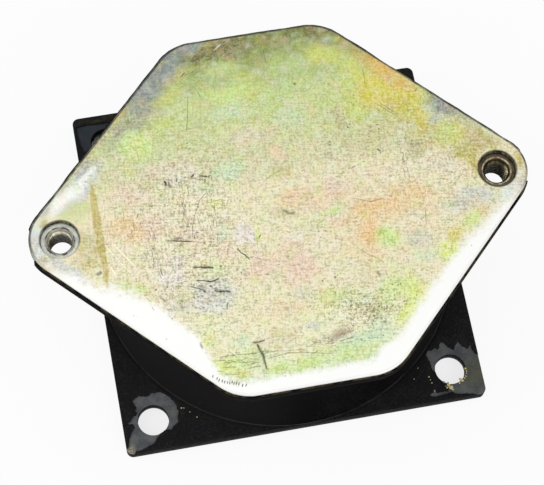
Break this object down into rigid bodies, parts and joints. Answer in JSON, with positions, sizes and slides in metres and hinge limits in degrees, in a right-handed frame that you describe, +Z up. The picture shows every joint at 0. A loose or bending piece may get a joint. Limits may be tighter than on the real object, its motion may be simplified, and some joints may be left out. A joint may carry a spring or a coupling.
{
  "type": "drum rubber mount",
  "caption": "Bonded rubber mount with a square bolt-down plate, a waisted rubber body and a six-sided top plate that has a threaded bush at each tip.",
  "frame": {"origin": "centre of the base plate's lower face, which the mount rests on", "axes": "+X along the line through the two threaded bushes, +Z up from the base plate through the rubber to the top plate, +Y completes the right-handed frame"},
  "size_m": [0.2196, 0.1666, 0.071],
  "materials": {
    "black_painted_steel": "worn satin black paint",
    "yellow_zinc_steel": "yellow passivated zinc, scratched",
    "black_rubber": "moulded matte black rubber",
    "zinc_bush": "zinc-plated, dirty thread",
    "rusty_bush": "oily brown rust"
  },
  "bodies": {
    "root": {"base_plate": "black_painted_steel", "top_plate": "yellow_zinc_steel", "rubber_body": "black_rubber", "base_film": "black_rubber", "top_skin": "black_rubber", "threaded_bush_left": "zinc_bush", "threaded_bush_right": "rusty_bush"}
  },
  "joints": []
}
